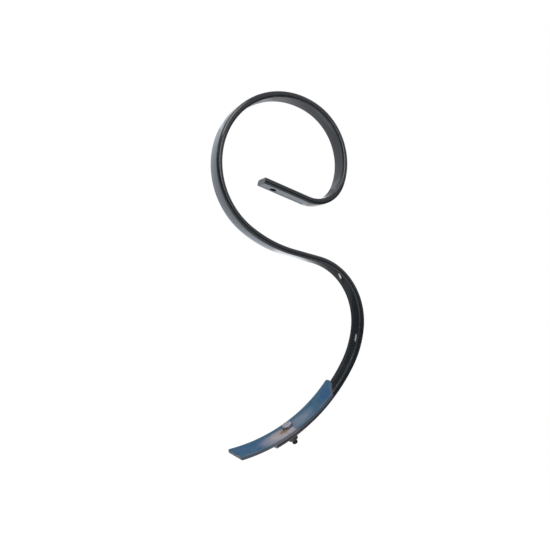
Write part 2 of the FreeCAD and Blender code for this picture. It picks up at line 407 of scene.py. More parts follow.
# Cloudy dust, thicker on what faces up
dust_film, given, result = new_group("dust_film", [("Vector", "Vector", None), ("Normal", "Vector", None),
                                                   ("Amount", "Float", 0.3)], [("Mask", "Float")])
facing = add_node(dust_film, "ShaderNodeSeparateXYZ")
dust_film.links.new(given["Normal"], facing.inputs[0])
settled = ramp(dust_film, facing.outputs[2], -0.4, 0.9, 0.15, 1.0)
cloud = ramp(dust_film, noise_at(dust_film, given["Vector"], 45.0, 5.0, 0.7), 0.35, 0.75)
dust_film.links.new(times(dust_film, times(dust_film, settled, cloud), given["Amount"]),
                    result["Mask"])

# Rubbed marks drawn out along the piece
rubbed_marks, given, result = new_group("rubbed_marks", [("Map", "Vector", None), ("Stretch", "Float", 0.05),
                                                         ("Scale", "Float", 900.0), ("Amount", "Float", 0.5)],
                                        [("Mask", "Float")])
split = add_node(rubbed_marks, "ShaderNodeSeparateXYZ")
rubbed_marks.links.new(given["Map"], split.inputs[0])
drawn = add_node(rubbed_marks, "ShaderNodeCombineXYZ")
rubbed_marks.links.new(times(rubbed_marks, split.outputs[0], given["Stretch"]), drawn.inputs[0])
rubbed_marks.links.new(split.outputs[1], drawn.inputs[1])
strokes = noise_at(rubbed_marks, drawn.outputs[0], given["Scale"], 3.0, 0.7)
rubbed_marks.links.new(times(rubbed_marks, ramp(rubbed_marks, strokes, 0.5, 0.8), given["Amount"]),
                       result["Mask"])

bar_paint, tree, skin = new_material("black_bar_paint")
skin.inputs["IOR"].default_value = 1.45
place = add_node(tree, "ShaderNodeTexCoord")
surface_map = add_node(tree, "ShaderNodeUVMap", uv_map="surface")
height = use_group(tree, relief, Vector=place.outputs["Object"], Peel_Scale=700.0, Wave_Scale=55.0,
                   Wave_Share=0.75)
chips = use_group(tree, edge_chips, Vector=place.outputs["Object"], Edge=read_attribute(tree, "edge"),
                  Reach=1.15)
dust = use_group(tree, dust_film, Vector=place.outputs["Object"], Normal=place.outputs["Normal"],
                 Amount=0.025)
rubs = use_group(tree, rubbed_marks, Map=surface_map.outputs[0], Stretch=0.06, Scale=700.0, Amount=0.35)
colour = blend_colour(tree, dust["Mask"], black_paint, road_dust)
colour = blend_colour(tree, chips["Mask"], colour, chipped_steel)
bare_mask = times(tree, read_attribute(tree, "foot_end"),
                  ramp(tree, noise_at(tree, place.outputs["Object"], 190.0, 3.0), 0.2, 0.6, 0.55, 1.0))
colour = blend_colour(tree, bare_mask, colour, sheared_steel)
tree.links.new(colour, skin.inputs["Base Color"])
smudge = ramp(tree, noise_at(tree, place.outputs["Object"], 30.0, 3.0, 0.6), 0.3, 0.75, *gloss_paint_roughness)
shine = blend_value(tree, rubs["Mask"], smudge, rubbed_paint_roughness)
shine = blend_value(tree, dust["Mask"], shine, dusty_roughness)
shine = blend_value(tree, chips["Mask"], shine, chipped_roughness)
shine = blend_value(tree, bare_mask, shine, sheared_roughness)
tree.links.new(shine, skin.inputs["Roughness"])
raise_skin(tree, skin, height["Height"], black_paint_bump)
bar.data.materials.clear()
bar.data.materials.append(bar_paint)
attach(bar, "root")
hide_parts("spring_bar")


# Share. Pressed steel plate, cut square at the tip and across one shoulder, curved to lie against the
# foot. It is painted blue; soil has rubbed it dull and bared and rusted it round the bolt.
share_thickness = 0.006
share_above_bolt = 0.125
share_below_bolt = 0.1115
share_straight_reach = 0.028
share_flared_reach = (0.019, 0.032)
share_flare_from_top = 0.027
cut_shoulder = (0.028, 0.032)
cut_shoulder_ease = 0.007
square_shoulder_ease = 0.003
tip_corner_ease = 0.002
share_edge_break = 0.0006
share_row_step = 0.0025
share_columns = 27
share_map_row = 40
share_bit_length = 0.016
border_rub_reach = 0.0025
end_rub_reach = 0.003
end_row_gap = 0.0005
cut_end_rub = 0.35
cut_end_flank = 0.3
front_fade = 0.001
worn_blue = (0.009, 0.094, 0.190, 1)
fresh_blue = (0.006, 0.076, 0.200, 1)
chalked_blue = (0.135, 0.190, 0.265, 1)
faded_blue = (0.022, 0.094, 0.165, 1)
lower_blue = (0.016, 0.090, 0.210, 1)
rubbed_blue = (0.040, 0.115, 0.205, 1)
bruised_paint = (0.215, 0.225, 0.305, 1)
bruised_steel = (0.270, 0.260, 0.310, 1)
pale_scratch = (0.240, 0.250, 0.290, 1)
# Dark colour for the thin line above the bare steel and for the painted shadow round the bolt head
dark_line_and_head_shadow = (0.062, 0.056, 0.070, 1)
# Darker colour for the plate's sides
darker_side_blue = (0.040, 0.056, 0.082, 1)
rubbed_side = (0.165, 0.148, 0.155, 1)
chipped_side = (0.090, 0.100, 0.115, 1)
bared_steel = (0.410, 0.385, 0.410, 1)
edge_grime = (0.070, 0.105, 0.135, 1)
near_rub = (0.160, 0.190, 0.245, 1)
dark_rust = (0.130, 0.078, 0.055, 1)
light_rust = (0.300, 0.200, 0.150, 1)
dull_paint_roughness = (0.34, 0.52)
bared_roughness = 0.48
scratched_roughness = 0.40
rusted_roughness = 0.85
blue_paint_bump = 0.00014
# Places of wear, and of the painted shadow round the bolt head, on the front: middle as (above the bolt,
# across), then half length and half width
fresh_top = ((0.095, -0.013), (0.016, 0.015))
lower_stretch = ((-0.088, 0.004), (0.030, 0.020))
chalked_stretch = ((0.020, -0.008), (0.032, 0.0165))
bruised_stretch = ((-0.036, -0.012), (0.026, 0.021))
bared_stretch = ((-0.0165, -0.0115), (0.0255, 0.0195))
shadow_stretch_round_head = ((0.0, 0.0), (0.0106, 0.0106))
rust_spot = ((-0.0130, -0.0072), (0.0085, 0.0064))
rust_stain = ((-0.0130, -0.0070), (0.0150, 0.0110))
share_back = foot_bend[0] - bar_thickness / 2
share_front = share_back - share_thickness


def rounded_end(rise, radius):
    """How far a rounded corner draws a border in: radius less the arc's height, zero before the arc."""
    inside = np.clip(rise, 0.0, radius)
    return radius - np.sqrt(radius ** 2 - inside ** 2)


def straight_border(above_bolt):
    """Border on the straight side at each length above the bolt.

    It is straight, then rises along the cut shoulder. A parabola eases the bend between the two, an
    arc eases the end of the cut at the top, and another rounds the tip's corner.
    """
    along_cut, across_cut = cut_shoulder
    slope = across_cut / along_cut
    start = share_above_bolt - along_cut
    ease = cut_shoulder_ease * 0.38
    gone = above_bolt - start
    cut = np.where(gone > ease, gone * slope, np.clip(gone + ease, 0.0, None) ** 2 * slope / 4 / ease)
    border = -share_straight_reach + np.where(gone > -ease, cut, 0.0)
    lean = math.hypot(1.0, slope)
    flat = cut_shoulder_ease * (lean - 1.0) / slope
    low = share_above_bolt - cut_shoulder_ease
    arc = across_cut - share_straight_reach + flat - np.sqrt(np.clip(
        cut_shoulder_ease ** 2 - np.clip(above_bolt - low, 0.0, None) ** 2, 0.0, None))
    border = np.where(above_bolt > share_above_bolt - cut_shoulder_ease * (1 - slope / lean), arc, border)
    return border + rounded_end(-above_bolt - share_below_bolt + tip_corner_ease, tip_corner_ease)


def flared_border(above_bolt):
    """Border on the flared side: straight near the top, then an arc that widens toward the tip."""
    top_reach, tip_reach = share_flared_reach
    start = share_above_bolt - share_flare_from_top
    run, rise = start + share_below_bolt, tip_reach - top_reach
    radius = (run ** 2 + rise ** 2) / 2 / rise
    gone = np.clip(start - above_bolt, 0.0, None)
    border = top_reach + radius - np.sqrt(radius ** 2 - gone ** 2)
    border = border - rounded_end(above_bolt - share_above_bolt + square_shoulder_ease, square_shoulder_ease)
    return border - rounded_end(-above_bolt - share_below_bolt + tip_corner_ease, tip_corner_ease)


def eased_rows(start, end, low_ease, high_ease, spacing):
    """Row places from start to end, closer together inside the two eased ends by a cosine."""
    turn = np.linspace(0.0, math.pi / 2, 9)
    low = start + low_ease * (1 - np.cos(turn))
    high = end - high_ease * (1 - np.cos(turn[::-1]))
    count = int((high[0] - low[-1]) / spacing)
    return np.concatenate([low, np.linspace(low[-1], high[0], count + 1)[1:-1], high])


def plate_ring(near, far, fronts, backs, ease, columns):
    """Closed sections of a plate as (across, depth, edge mask), one for each row.

    Across the front it goes from near to far in even steps, round a quarter arc, down the side, round
    a second quarter arc, and back the same way behind. The edge mask is 1 on the arcs and the sides,
    and on the faces it falls off from the borders as the square of what is left of the rub's reach.
    """
    share_of_way = np.linspace(0.0, 1.0, columns)
    quarter = np.linspace(0.0, math.pi / 2, 5)[1:-1]
    near, far = near[:, None] + ease, far[:, None] - ease
    front_line = near + (far - near) * share_of_way
    back_line = front_line[:, ::-1]
    rows = near.shape[0]
    sweep, lift = ease * np.sin(quarter)[None], ease * (1 - np.cos(quarter))[None]
    flank = np.full((rows, 3), ease)
    steps = np.linspace(fronts + ease, backs - ease, 3)[None].repeat(rows, axis=0)
    across = np.concatenate([front_line, far + sweep, far + flank, far + sweep[:, ::-1],
                             back_line, near - sweep, near - flank, near - sweep[:, ::-1]], axis=1)
    lift = lift.repeat(rows, axis=0)
    depth = np.concatenate([np.full_like(front_line, fronts), fronts + lift, steps, backs - lift[:, ::-1],
                            np.full_like(back_line, backs), backs - lift, steps[:, ::-1],
                            fronts + lift[:, ::-1]], axis=1)
    inset = np.minimum(front_line - near, far - front_line)
    rub = np.clip((border_rub_reach - inset) / border_rub_reach, 0.0, 1.0) ** 2
    mask = np.concatenate([rub, np.ones((rows, 2 * quarter.size + 3)), rub[:, ::-1],
                           np.ones((rows, 2 * quarter.size + 3))], axis=1)
    return across, depth, mask


share_rows = eased_rows(-share_below_bolt, share_above_bolt, tip_corner_ease, cut_shoulder_ease, share_row_step)
share_across, share_depth, share_edge = plate_ring(straight_border(share_rows), flared_border(share_rows),
                                                   share_front, share_back, share_edge_break, share_columns)
share_headings = bolt_heading + share_rows / share_back
share_tangents = np.stack([np.cos(share_headings), 0 * share_headings, np.sin(share_headings)], axis=1)
share_grid = (foot_centre - outward(share_headings)[:, None] * share_depth[..., None]
              + across_bar * share_across[..., None])
share_grid = broken_ends(share_grid, -share_tangents[0], -share_tangents[-1], share_edge_break)
share_along = np.concatenate([share_rows[:1], share_rows, share_rows[-1:]])
mapped_ring = np.stack([share_across[share_map_row], share_depth[share_map_row]])
mapped_steps = np.hypot(*np.diff(mapped_ring, axis=1, append=mapped_ring[:, :1]))
share_way = np.concatenate([[0.0], np.cumsum(mapped_steps)])
share = tube_object("worn_share", share_grid, share_along, share_way, bar_crease)
edge_rows = np.concatenate([share_edge[:1], share_edge, share_edge[-1:]])
end_gap = np.minimum(share_along - share_along[0], share_along[-1] - share_along)[:, None]
end_rub = np.clip((end_rub_reach - end_gap) / end_rub_reach, 0.0, 1.0)
end_rub[[0, 1, -2, -1]] = cut_end_rub
point_values(share, "edge", np.maximum(edge_rows * (end_gap > end_row_gap), end_rub))
place_across = np.concatenate([share_across[:1], share_across, share_across[-1:]])
point_values(share, "above_bolt", np.repeat(share_along[:, None], share_grid.shape[1], axis=1))
point_values(share, "across", place_across)
near_line = place_across.min(axis=1, keepdims=True)
far_line = place_across.max(axis=1, keepdims=True)
point_values(share, "from_flared_border", far_line - place_across)
point_values(share, "from_straight_border", place_across - near_line)
share_middle = (share_front + share_back) / 2
in_front = np.clip((share_middle - share_depth) / front_fade, 0.0, 1.0)
point_values(share, "in_front", np.concatenate([in_front[:1], in_front, in_front[-1:]]))
flank = np.clip((share_thickness / 2 - np.abs(share_depth - share_middle)) / share_edge_break, 0.0, 1.0)
flank = np.concatenate([np.ones_like(flank[:1]), flank, np.ones_like(flank[:1])])
flank[[1, -2]] = np.maximum(flank[[1, -2]], cut_end_flank)
point_values(share, "flank", flank)
share_hole = bolt_spot + bolt_front * (bar_thickness + share_thickness) / 2
drill(share, share_hole, bolt_front, bolt_hole_radius, share_bit_length)

# A patch with a soft ragged outline, at a place on the plate and with a length and a width. It masks wear, and
# also the painted shadow round the bolt head.
wear_and_shadow_patch, given, result = new_group("wear_and_shadow_patch", [("Place", "Vector", None), ("Centre", "Vector", None),
                                                     ("Half Size", "Vector", None), ("Ragged", "Float", 0.5),
                                                     ("Soft", "Float", 0.3), ("Scale", "Float", 120.0)],
                                      [("Mask", "Float")])
shift = add_node(wear_and_shadow_patch, "ShaderNodeVectorMath", operation="SUBTRACT")
wear_and_shadow_patch.links.new(given["Place"], shift.inputs[0])
wear_and_shadow_patch.links.new(given["Centre"], shift.inputs[1])
scaled = add_node(wear_and_shadow_patch, "ShaderNodeVectorMath", operation="DIVIDE")
wear_and_shadow_patch.links.new(shift.outputs[0], scaled.inputs[0])
wear_and_shadow_patch.links.new(given["Half Size"], scaled.inputs[1])
reach = add_node(wear_and_shadow_patch, "ShaderNodeVectorMath", operation="LENGTH")
wear_and_shadow_patch.links.new(scaled.outputs[0], reach.inputs[0])
crumbs = noise_at(wear_and_shadow_patch, given["Place"], given["Scale"], 4.0, 0.65)
ragged = times(wear_and_shadow_patch, sums(wear_and_shadow_patch, "SUBTRACT", crumbs, 0.5), given["Ragged"])
limit = sums(wear_and_shadow_patch, "ADD", reach.outputs["Value"], times(wear_and_shadow_patch, ragged, 2.0))
low = sums(wear_and_shadow_patch, "SUBTRACT", 1.0, given["Soft"])
high = sums(wear_and_shadow_patch, "ADD", 1.0, given["Soft"])
wear_and_shadow_patch.links.new(ramp(wear_and_shadow_patch, limit, low, high, 1.0, 0.0), result["Mask"])

# Two tones mixed by fine and coarse spots, for rust and for the nut's dark scale
rust_tone, given, result = new_group("rust_tone", [("Vector", "Vector", None), ("Scale", "Float", 300.0),
                                                   ("Dark", "Color", None), ("Light", "Color", None)],
                                     [("Color", "Color"), ("Height", "Float")])
grit = noise_at(rust_tone, given["Vector"], given["Scale"], 5.0, 0.7)
mottle = noise_at(rust_tone, given["Vector"], times(rust_tone, given["Scale"], 0.2), 3.0, 0.6)
mixed = sums(rust_tone, "ADD", times(rust_tone, grit, 0.5), times(rust_tone, mottle, 0.5))
mixed = ramp(rust_tone, mixed, 0.35, 0.65)
rust_tone.links.new(blend_colour(rust_tone, mixed, given["Dark"], given["Light"]), result["Color"])
rust_tone.links.new(grit, result["Height"])

share_paint, tree, skin = new_material("blue_share_paint")
skin.inputs["IOR"].default_value = 1.40
place = add_node(tree, "ShaderNodeTexCoord")
above_bolt = read_attribute(tree, "above_bolt")
across = read_attribute(tree, "across")
on_front = read_attribute(tree, "in_front")
on_side = read_attribute(tree, "flank")
plate = add_node(tree, "ShaderNodeCombineXYZ")
tree.links.new(above_bolt, plate.inputs[0])
tree.links.new(across, plate.inputs[1])
spot = plate.outputs[0]


def patch(stretch, ragged, soft, scale):
    """Mask on the front of the plate, for wear and for the painted shadow round the bolt head, over a stretch
    given by its middle and its half size.
    """
    middle, half_size = stretch
    mask = use_group(tree, wear_and_shadow_patch, Place=spot, Centre=(*middle, 0.0), Half_Size=(*half_size, 1.0),
                     Ragged=ragged, Soft=soft, Scale=scale)["Mask"]
    return times(tree, mask, on_front)


# The paint's own shades come first, then chalk and bruises, bare steel with a dark line above it, a painted
# shadow round the bolt head, scratches, rust, rubbed borders and sides, and last chips and dust.
fine_rubs = use_group(tree, rubbed_marks, Map=spot, Stretch=0.06, Scale=1100.0, Amount=0.55)["Mask"]
broad_rubs = use_group(tree, rubbed_marks, Map=spot, Stretch=0.10, Scale=260.0, Amount=0.9)["Mask"]
cloudy = ramp(tree, noise_at(tree, spot, 42.0, 4.0, 0.6), 0.35, 0.7, 0.0, 0.5)
colour = blend_colour(tree, cloudy, worn_blue, faded_blue)
colour = blend_colour(tree, patch(fresh_top, 0.35, 0.6, 60.0), colour, fresh_blue)
colour = blend_colour(tree, patch(lower_stretch, 0.5, 0.7, 60.0), colour, lower_blue)
colour = blend_colour(tree, broad_rubs, colour, rubbed_blue)
colour = blend_colour(tree, patch(chalked_stretch, 0.5, 0.6, 90.0), colour, chalked_blue)
colour = blend_colour(tree, patch(bruised_stretch, 0.4, 0.5, 90.0), colour, bruised_paint)
bare = patch(bared_stretch, 0.55, 0.35, 85.0)
wavering = times(tree, noise_at(tree, spot, 240.0, 3.0), 0.004)
rubbed_to = sums(tree, "SUBTRACT", above_bolt, wavering)
bare = times(tree, bare, ramp(tree, rubbed_to, 0.0005, 0.0045, 1.0, 0.0))
mottled = blend_colour(tree, broad_rubs, bared_steel, bruised_steel)
colour = blend_colour(tree, bare, colour, mottled)
dark_line = times(tree, ramp(tree, rubbed_to, 0.0020, 0.0036), ramp(tree, rubbed_to, 0.0042, 0.0058, 0.6, 0.0))
dark_line = times(tree, dark_line, ramp(tree, across, -0.014, -0.010, 1.0, 0.0))
dark_line = times(tree, dark_line, on_front)
colour = blend_colour(tree, dark_line, colour, dark_line_and_head_shadow)
# Painted shadow: a dark ring on the plate round the bolt head, where the head would shade it
painted_shadow_round_head = patch(shadow_stretch_round_head, 0.1, 0.10, 400.0)
colour = blend_colour(tree, times(tree, painted_shadow_round_head, 0.8), colour, dark_line_and_head_shadow)
colour = blend_colour(tree, fine_rubs, colour, pale_scratch)
dark_strokes = use_group(tree, rubbed_marks, Map=spot, Stretch=0.12, Scale=430.0, Amount=0.85)["Mask"]
colour = blend_colour(tree, times(tree, bare, dark_strokes), colour, bruised_paint)
rust = use_group(tree, rust_tone, Vector=place.outputs["Object"], Scale=420.0, Dark=dark_rust, Light=light_rust)
rust_mask = patch(rust_spot, 0.45, 0.40, 260.0)
colour = blend_colour(tree, times(tree, patch(rust_stain, 0.6, 0.5, 130.0), 0.22), colour, light_rust)
colour = blend_colour(tree, rust_mask, colour, rust["Color"])
far_border = ramp(tree, read_attribute(tree, "from_flared_border"), 0.0015, 0.0085, 0.85, 0.0)
colour = blend_colour(tree, far_border, colour, edge_grime)
near_border = ramp(tree, read_attribute(tree, "from_straight_border"), 0.0003, 0.0035, 0.40, 0.0)
colour = blend_colour(tree, near_border, colour, near_rub)
# The plate's sides are coloured darker than its front
colour = blend_colour(tree, times(tree, on_side, 0.85), colour, darker_side_blue)
side_rub = times(tree, ramp(tree, above_bolt, -0.066, -0.040), ramp(tree, above_bolt, 0.002, 0.012, 1.0, 0.0))
side_rub = times(tree, side_rub, on_side)
colour = blend_colour(tree, times(tree, side_rub, 0.5), colour, rubbed_side)
chips = use_group(tree, edge_chips, Vector=place.outputs["Object"], Edge=read_attribute(tree, "edge"),
                  Scale=330.0, Reach=1.16)
colour = blend_colour(tree, chips["Mask"], colour, chipped_side)
dust = use_group(tree, dust_film, Vector=place.outputs["Object"], Normal=place.outputs["Normal"], Amount=0.10)
colour = blend_colour(tree, dust["Mask"], colour, road_dust)
tree.links.new(colour, skin.inputs["Base Color"])
shine = ramp(tree, noise_at(tree, place.outputs["Object"], 70.0, 4.0, 0.6), 0.3, 0.7, *dull_paint_roughness)
shine = blend_value(tree, bare, shine, bared_roughness)
shine = blend_value(tree, fine_rubs, shine, scratched_roughness)
shine = blend_value(tree, rust_mask, shine, rusted_roughness)
tree.links.new(shine, skin.inputs["Roughness"])
tree.links.new(times(tree, bare, 0.25), skin.inputs["Metallic"])
height = use_group(tree, relief, Vector=place.outputs["Object"], Peel_Scale=900.0, Wave_Scale=90.0,
                   Wave_Share=0.5)
raised = sums(tree, "SUBTRACT", height["Height"], times(tree, bare, 0.35))
raised = sums(tree, "SUBTRACT", raised, times(tree, fine_rubs, 0.25))
raised = sums(tree, "ADD", raised, times(tree, times(tree, rust["Height"], rust_mask), 1.2))
raise_skin(tree, skin, raised, blue_paint_bump)
share.data.materials.clear()
share.data.materials.append(share_paint)
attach(share, "root")
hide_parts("share")


# Share bolt. Forged hexagon-head bolt, zinc plated, its head's top bright on the share's front. Below the top
# the head's sides and the shank are painted dark as shade, and the rolled thread is dark with grease behind the
# nut.
hex_across_flats = 0.017
hex_corner = 0.00966
hex_chamfer_ratio = 0.94
hex_chamfer_angle = 30.0
head_height = 0.0064
head_pad_height = 0.0004
bolt_length = 0.035
bolt_point_chamfer = 0.0012
thread_radius = 0.00497
thread_pitch = 0.0015
thread_depth = 0.00092
thread_length = 0.022
thread_row_step = 0.00012
shank_fillet = 0.0003
head_dish_rings = (0.0045, 0.0012)
head_dish_step = 0.00004
grease_from = -0.012
grease_fade = 0.004
shade_below_top = 0.0002
shade_fade = 0.0016
hexagon_blunt = 0.00012
corner_wear_from = 0.0090
corner_wear_reach = 0.0006
turned_columns = 96
turned_crease = 28.0
zinc = (0.520, 0.520, 0.580, 1)
dulled_zinc = (0.420, 0.420, 0.465, 1)
# Painted shade for the bolt head's sides and what lies below them
painted_shade_zinc = (0.062, 0.057, 0.070, 1)
chipped_zinc = (0.30, 0.27, 0.26, 1)
greasy_steel = (0.030, 0.029, 0.025, 1)
zinc_roughness = (0.34, 0.5)
greasy_roughness = 0.42
zinc_metallic = 0.6
dusty_metallic = 0.3
greasy_metallic = 0.1
zinc_bump = 0.00003


def hexagon_reach(angle):
    """Distance from a hexagon's middle to its side.

    It is half the width across flats over the cosine of the angle from the flat's middle, no more than
    the blunt corner's.
    """
    from_flat = np.mod(angle, math.pi / 3) - math.pi / 6
    return np.minimum(hex_across_flats / 2 / np.cos(from_flat), hex_corner)


def turned_grid(base, axis, heights, reaches, angles):
    """Rings of points round an axis: base plus height along it, and reach along the turned spoke."""
    side = np.cross(axis, across_bar)
    spokes = np.cos(angles)[:, None] * side + np.sin(angles)[:, None] * across_bar
    return base + heights[..., None] * axis + reaches[..., None] * spokes[None]


def hexagon_rows(angles, low, high, chamfer_low, chamfer_high):
    """Heights and reaches of a hexagon prism's side, from its low end circle to its high end circle.

    The chamfer is a cone that leaves the end's circle at the chamfer angle, so it meets the flat at a
    height of its extra reach times the angle's tangent, which curves along each flat.
    """
    reach = hexagon_reach(angles)
    circle = hex_across_flats / 2 * hex_chamfer_ratio
    drop = (reach - circle) * math.tan(math.radians(hex_chamfer_angle))
    blunt = hexagon_blunt
    heights, reaches = [], []
    if chamfer_low:
        heights += [np.full_like(angles, low), low + drop - blunt, low + drop + blunt]
        reaches += [np.full_like(angles, circle), reach - blunt, reach]
    else:
        heights += [np.full_like(angles, low), np.full_like(angles, low + blunt)]
        reaches += [reach - blunt, reach]
    if chamfer_high:
        heights += [high - drop - blunt, high - drop + blunt, np.full_like(angles, high)]
        reaches += [reach, reach - blunt, np.full_like(angles, circle)]
    else:
        heights += [np.full_like(angles, high - blunt), np.full_like(angles, high)]
        reaches += [reach, reach - blunt]
    return heights, reaches


def hexagon_wear(angles, on_side):
    """Edge mask of a hexagon's side: 0.2 on its flats, rising evenly to 1 at its corners, else 0."""
    corner = np.clip((hexagon_reach(angles) - corner_wear_from) / corner_wear_reach, 0.0, 1.0)
    return np.where(on_side, corner[None] * 0.8 + 0.2, 0.0)


def thread_rows(angles, start, end, spacing):
    """Heights and reaches of a right-hand thread from start down to end, with its point chamfered.

    The reach is the crest less the depth times a triangle wave of height over pitch less the turn,
    clipped flat at crest and root, and no more than the cone at the bolt's point.
    """
    heights = np.arange(start, end, -spacing)
    heights = np.append(heights, end)[:, None] + 0 * angles
    phase = np.mod(heights / thread_pitch + angles / 2 / math.pi, 1.0)
    wave = np.clip(np.abs(phase - 0.5) * 2 * 1.45 - 0.18, 0.0, 1.0)
    fade = np.clip((start - heights) / thread_pitch, 0.0, 1.0)
    cone = thread_radius - bolt_point_chamfer + (heights - end)
    reach = np.minimum(thread_radius - thread_depth * wave * fade, cone)
    return list(heights), list(reach)


bolt_angles = np.linspace(0.0, 2 * math.pi, turned_columns + 1)[:-1]
pad_reach = hex_across_flats / 2 * hex_chamfer_ratio
seat_depth = foot_bend[0] - math.sqrt(share_front ** 2 - pad_reach ** 2)
bolt_seat = bolt_spot + bolt_front * seat_depth
even = np.ones_like(bolt_angles)
thread_heights, thread_reaches = thread_rows(bolt_angles, thread_length - bolt_length, -bolt_length,
                                             thread_row_step)
head_heights, head_reaches = hexagon_rows(bolt_angles, head_pad_height, head_height, False, True)
bolt_heights = (thread_heights[::-1] + [-0.0005 * even, 0.0 * even, 0.0 * even, head_pad_height * even]
                + head_heights + [(head_height - k * head_dish_step) * even for k in (1, 2)])
bolt_reaches = (thread_reaches[::-1] + [thread_radius * even, (thread_radius + shank_fillet) * even,
                                        pad_reach * even, pad_reach * even]
                + head_reaches + [ring * even for ring in head_dish_rings])
bolt_heights, bolt_reaches = np.array(bolt_heights), np.array(bolt_reaches)
bolt_grid = turned_grid(bolt_seat, bolt_front, bolt_heights, bolt_reaches, bolt_angles)
bolt_way = np.linspace(0.0, 2 * math.pi * thread_radius, bolt_angles.size + 1)
bolt = tube_object("share_bolt_forged", bolt_grid, bolt_heights.mean(axis=1), bolt_way, turned_crease)
point_values(bolt, "grease", np.clip((grease_from - bolt_heights) / grease_fade, 0.0, 1.0))
# Mask of the painted shade: darker from a little under the head's top downward
point_values(bolt, "low", np.clip((head_height - shade_below_top - bolt_heights) / shade_fade, 0.0, 1.0))
head_side = (bolt_heights > head_pad_height) & (bolt_reaches > pad_reach * 0.98)
point_values(bolt, "edge", hexagon_wear(bolt_angles, head_side))

plating, tree, skin = new_material("bolt_plating")
place = add_node(tree, "ShaderNodeTexCoord")
grease = read_attribute(tree, "grease")
dulling = ramp(tree, noise_at(tree, place.outputs["Object"], 260.0, 4.0, 0.6), 0.4, 0.7)
colour = blend_colour(tree, dulling, zinc, dulled_zinc)
chips = use_group(tree, edge_chips, Vector=place.outputs["Object"], Edge=read_attribute(tree, "edge"),
                  Scale=600.0, Reach=1.10)
colour = blend_colour(tree, chips["Mask"], colour, chipped_zinc)
# Painted shade: the head's sides and everything below them are darkened
colour = blend_colour(tree, times(tree, read_attribute(tree, "low"), 0.9), colour, painted_shade_zinc)
dust = use_group(tree, dust_film, Vector=place.outputs["Object"], Normal=place.outputs["Normal"], Amount=0.06)
colour = blend_colour(tree, dust["Mask"], colour, road_dust)
colour = blend_colour(tree, grease, colour, greasy_steel)
tree.links.new(colour, skin.inputs["Base Color"])
metal = blend_value(tree, dust["Mask"], zinc_metallic, dusty_metallic)
tree.links.new(blend_value(tree, grease, metal, greasy_metallic), skin.inputs["Metallic"])
shine = ramp(tree, noise_at(tree, place.outputs["Object"], 500.0, 3.0, 0.6), 0.3, 0.7, *zinc_roughness)
tree.links.new(blend_value(tree, grease, shine, greasy_roughness), skin.inputs["Roughness"])
height = use_group(tree, relief, Vector=place.outputs["Object"], Peel_Scale=1500.0, Wave_Scale=300.0,
                   Wave_Share=0.5)
raise_skin(tree, skin, height["Height"], zinc_bump)
bolt.data.materials.clear()
bolt.data.materials.append(plating)
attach(bolt, "root")
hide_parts("share_bolt")


# Share nut. Plain hexagon nut, chamfered at both ends and dark with grease and soil, run up hard
# against the back of the bar.
nut_height = 0.0084
nut_bore = 0.00505
nut_countersink = 0.0007
nut_dark = (0.020, 0.019, 0.017, 1)
nut_light = (0.055, 0.050, 0.042, 1)
chipped_nut = (0.14, 0.13, 0.12, 1)
nut_metallic = 0.3
nut_roughness = (0.38, 0.58)
nut_bump = 0.0001
nut_seat = bolt_spot - bolt_front * (bar_thickness / 2)
side_heights, side_reaches = hexagon_rows(bolt_angles, 0.0, nut_height, True, True)
nut_heights = np.array([nut_countersink * even, 0.0 * even] + side_heights
                       + [nut_height * even, (nut_height - nut_countersink) * even])
nut_reaches = np.array([nut_bore * even, (nut_bore + nut_countersink) * even] + side_reaches
                       + [(nut_bore + nut_countersink) * even, nut_bore * even])
nut_grid = turned_grid(nut_seat, -bolt_front, nut_heights, nut_reaches, bolt_angles)


def closed_ring_object(name, grid, crease):
    """Mesh object from rings of points that close on themselves both ways, such as a nut."""
    rows, columns = grid.shape[:2]
    row, column = np.arange(rows)[:, None], np.arange(columns)[None]
    next_row, next_column = (row + 1) % rows, (column + 1) % columns
    quads = np.stack([row * columns + column, row * columns + next_column,
                      next_row * columns + next_column, next_row * columns + column], axis=-1).reshape(-1, 4)
    points = grid.reshape(-1, 3)
    if signed_volume(points, quads) < 0:
        quads = quads[:, ::-1]
    mesh = bpy.data.meshes.new(name)
    mesh.from_pydata(points.tolist(), [], quads.tolist())
    return smooth_object(name, mesh, crease)


nut = closed_ring_object("share_nut_dark", nut_grid, turned_crease)
point_values(nut, "edge", hexagon_wear(bolt_angles, nut_reaches > pad_reach * 0.98))
nut_finish, tree, skin = new_material("dark_nut_steel")
skin.inputs["Metallic"].default_value = nut_metallic
place = add_node(tree, "ShaderNodeTexCoord")
tone = use_group(tree, rust_tone, Vector=place.outputs["Object"], Scale=380.0, Dark=nut_dark, Light=nut_light)
chips = use_group(tree, edge_chips, Vector=place.outputs["Object"], Edge=read_attribute(tree, "edge"),
                  Scale=600.0, Reach=0.98)
colour = blend_colour(tree, chips["Mask"], tone["Color"], chipped_nut)
dust = use_group(tree, dust_film, Vector=place.outputs["Object"], Normal=place.outputs["Normal"], Amount=0.2)
colour = blend_colour(tree, dust["Mask"], colour, road_dust)
tree.links.new(colour, skin.inputs["Base Color"])
shine = ramp(tree, noise_at(tree, place.outputs["Object"], 420.0, 3.0, 0.6), 0.3, 0.7, *nut_roughness)
tree.links.new(shine, skin.inputs["Roughness"])
raise_skin(tree, skin, tone["Height"], nut_bump)
nut.data.materials.clear()
nut.data.materials.append(nut_finish)
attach(nut, "root")
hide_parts("share_nut")


